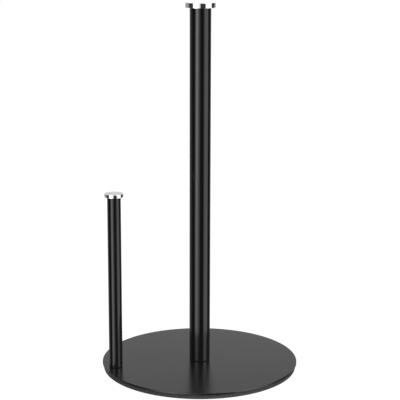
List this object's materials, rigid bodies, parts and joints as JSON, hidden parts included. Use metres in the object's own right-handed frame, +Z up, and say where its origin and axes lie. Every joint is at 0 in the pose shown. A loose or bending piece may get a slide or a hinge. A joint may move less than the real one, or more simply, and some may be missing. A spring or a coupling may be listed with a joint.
{
  "type": "paper towel holder",
  "caption": "Free-standing paper towel holder: a round steel base on an anti-slip pad, a tall centre post for the roll, a short side bar near the rim and a flat chrome cap on each.",
  "frame": {"origin": "on the table, under the middle of the base disc and the main post's axis", "axes": "+Z up along the main post; the side bar stands on the -X side"},
  "size_m": [0.18, 0.18, 0.334],
  "materials": {
    "black_powder_coat": "satin black powder coat on steel",
    "foam_pad": "matte closed cell foam",
    "chrome_cap": "polished chrome plate",
    "turned_steel": "turned, bare",
    "zinc_plated_steel": "bright zinc plate",
    "nylon": "moulded, black"
  },
  "bodies": {
    "base": {"base_plate": "black_powder_coat", "anti_slip_pad": "foam_pad", "main_post_screw": "zinc_plated_steel", "main_post_washer": "zinc_plated_steel", "side_bar_screw": "zinc_plated_steel", "side_bar_washer": "zinc_plated_steel"},
    "main_post_foot": {"main_post_foot_ring": "nylon"},
    "main_post": {"main_post_tube": "black_powder_coat", "main_post_foot_insert": "turned_steel", "main_post_top_bush": "nylon", "main_post_cap": "chrome_cap"},
    "side_bar_foot": {"side_bar_foot_ring": "nylon"},
    "side_bar": {"side_bar_tube": "black_powder_coat", "side_bar_foot_insert": "turned_steel", "side_bar_top_bush": "nylon", "side_bar_cap": "chrome_cap"}
  },
  "joints": [
    {"name": "main_post_unscrew", "type": "hinge", "parent": "base", "child": "main_post_foot", "pos_m": [0, 0, 0.0061], "axis": [0, 0, 1], "range_deg": [0, 3960]},
    {"name": "main_post_lift", "type": "slide", "parent": "main_post_foot", "child": "main_post", "axis": [0, 0, 1], "range_m": [0, 0.0088]},
    {"name": "side_bar_unscrew", "type": "hinge", "parent": "base", "child": "side_bar_foot", "pos_m": [-0.0793, 0, 0.0061], "axis": [0, 0, 1], "range_deg": [0, 3960]},
    {"name": "side_bar_lift", "type": "slide", "parent": "side_bar_foot", "child": "side_bar", "axis": [0, 0, 1], "range_m": [0, 0.0088]}
  ],
  "couplings": [
    {"joint": "main_post_unscrew", "follows": "main_post_lift", "rad_per_m": 7854},
    {"joint": "side_bar_unscrew", "follows": "side_bar_lift", "rad_per_m": 7854}
  ]
}
